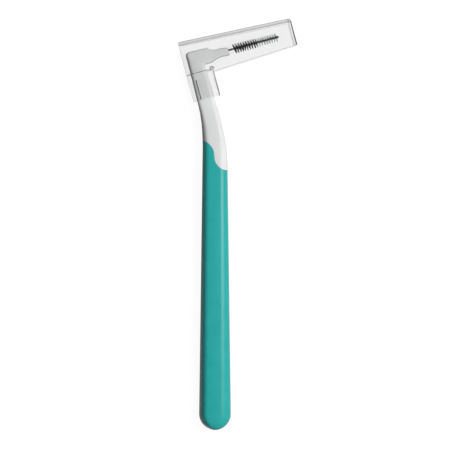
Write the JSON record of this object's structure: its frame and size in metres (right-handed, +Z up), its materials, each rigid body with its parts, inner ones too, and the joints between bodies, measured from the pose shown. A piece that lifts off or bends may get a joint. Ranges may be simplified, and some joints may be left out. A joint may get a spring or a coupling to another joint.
{
  "type": "interdental brush",
  "caption": "Long-handled interdental brush with a right-angled head, two-tone bristles on a twisted wire, and a clear pull-off cap.",
  "frame": {"origin": "centre of the round butt's arc, on the flat side that the brush lies on", "axes": "+Y up the handle towards the head, +X the way the brush points, +Z up from the side it lies on"},
  "size_m": [0.0416, 0.1435, 0.0086],
  "materials": {
    "core": "satin white, slightly translucent",
    "grip": "satin teal, moulded",
    "wire": "black coated steel",
    "black_bristles": "black nylon filament",
    "pale_bristles": "pale translucent nylon filament",
    "cap": "clear, polished"
  },
  "bodies": {
    "brush": {"core": "core", "grip": "grip", "wire": "wire", "black_bristles": "black_bristles", "pale_bristles": "pale_bristles"},
    "cap": {"cap": "cap"}
  },
  "joints": [
    {"name": "cap_pull", "type": "slide", "parent": "brush", "child": "cap", "axis": [-0.2588, 0.9659, 0], "range_m": [0, 0.026]}
  ]
}
